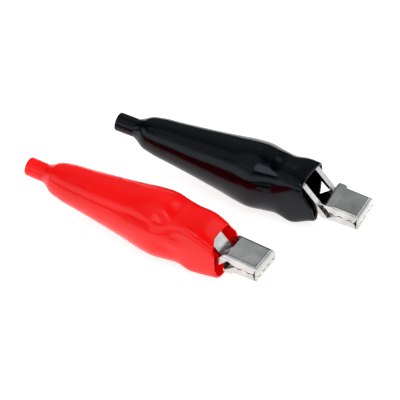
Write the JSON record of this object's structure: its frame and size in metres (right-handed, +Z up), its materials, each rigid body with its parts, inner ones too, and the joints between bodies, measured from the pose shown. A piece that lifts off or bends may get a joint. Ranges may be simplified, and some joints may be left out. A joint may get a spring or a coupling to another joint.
{
  "type": "alligator clip lead",
  "caption": "Pair of insulated cross-action alligator clips, one red and one black, with box jaws that open when the soft boot is squeezed.",
  "frame": {"origin": "on the table under the middle of the pair: the centre of the bounding box's bottom face", "axes": "+X the mean direction in which the jaws point, +Y across from the red clip to the black clip, +Z up"},
  "size_m": [0.065, 0.034, 0.0135],
  "materials": {
    "black_vinyl": "glossy dipped vinyl",
    "red_vinyl": "glossy dipped vinyl",
    "nickel_steel": "nickel-plated pressed sheet",
    "rivet_steel": "satin",
    "spring_steel": "drawn wire",
    "tinned_brass": "tinned",
    "screw_steel": "zinc-plated"
  },
  "bodies": {
    "black_base": {"black_boot": "black_vinyl", "black_fork_leg": "nickel_steel", "black_hinge_pin": "rivet_steel", "black_torsion_spring": "spring_steel", "black_wire_lug": "tinned_brass", "black_terminal_screw": "screw_steel"},
    "black_jaw": {"black_strip_leg": "nickel_steel"},
    "red_base": {"red_boot": "red_vinyl", "red_strip_leg": "nickel_steel", "red_hinge_pin": "rivet_steel", "red_torsion_spring": "spring_steel", "red_wire_lug": "tinned_brass", "red_terminal_screw": "screw_steel"},
    "red_jaw": {"red_fork_leg": "nickel_steel"}
  },
  "joints": [
    {"name": "black_jaw_hinge", "type": "hinge", "parent": "black_base", "child": "black_jaw", "pos_m": [-0.00768, 0.00972, 0.00733], "axis": [0.0523, -0.9986, 0], "range_deg": [0, 10], "stiffness_Nm_per_rad": 0.25, "springref_deg": -28.65, "deforming": ["black_torsion_spring"]},
    {"name": "red_jaw_hinge", "type": "hinge", "parent": "red_base", "child": "red_jaw", "pos_m": [-0.01743, -0.01005, 0.00656], "axis": [-0.0323, -0.9995, 0], "range_deg": [0, 10], "stiffness_Nm_per_rad": 0.25, "springref_deg": -28.65, "deforming": ["red_torsion_spring"]},
    {"name": "red_clip_lift", "type": "slide", "parent": "black_base", "child": "red_base", "axis": [0, 0, 1], "range_m": [0, 0.04]}
  ]
}
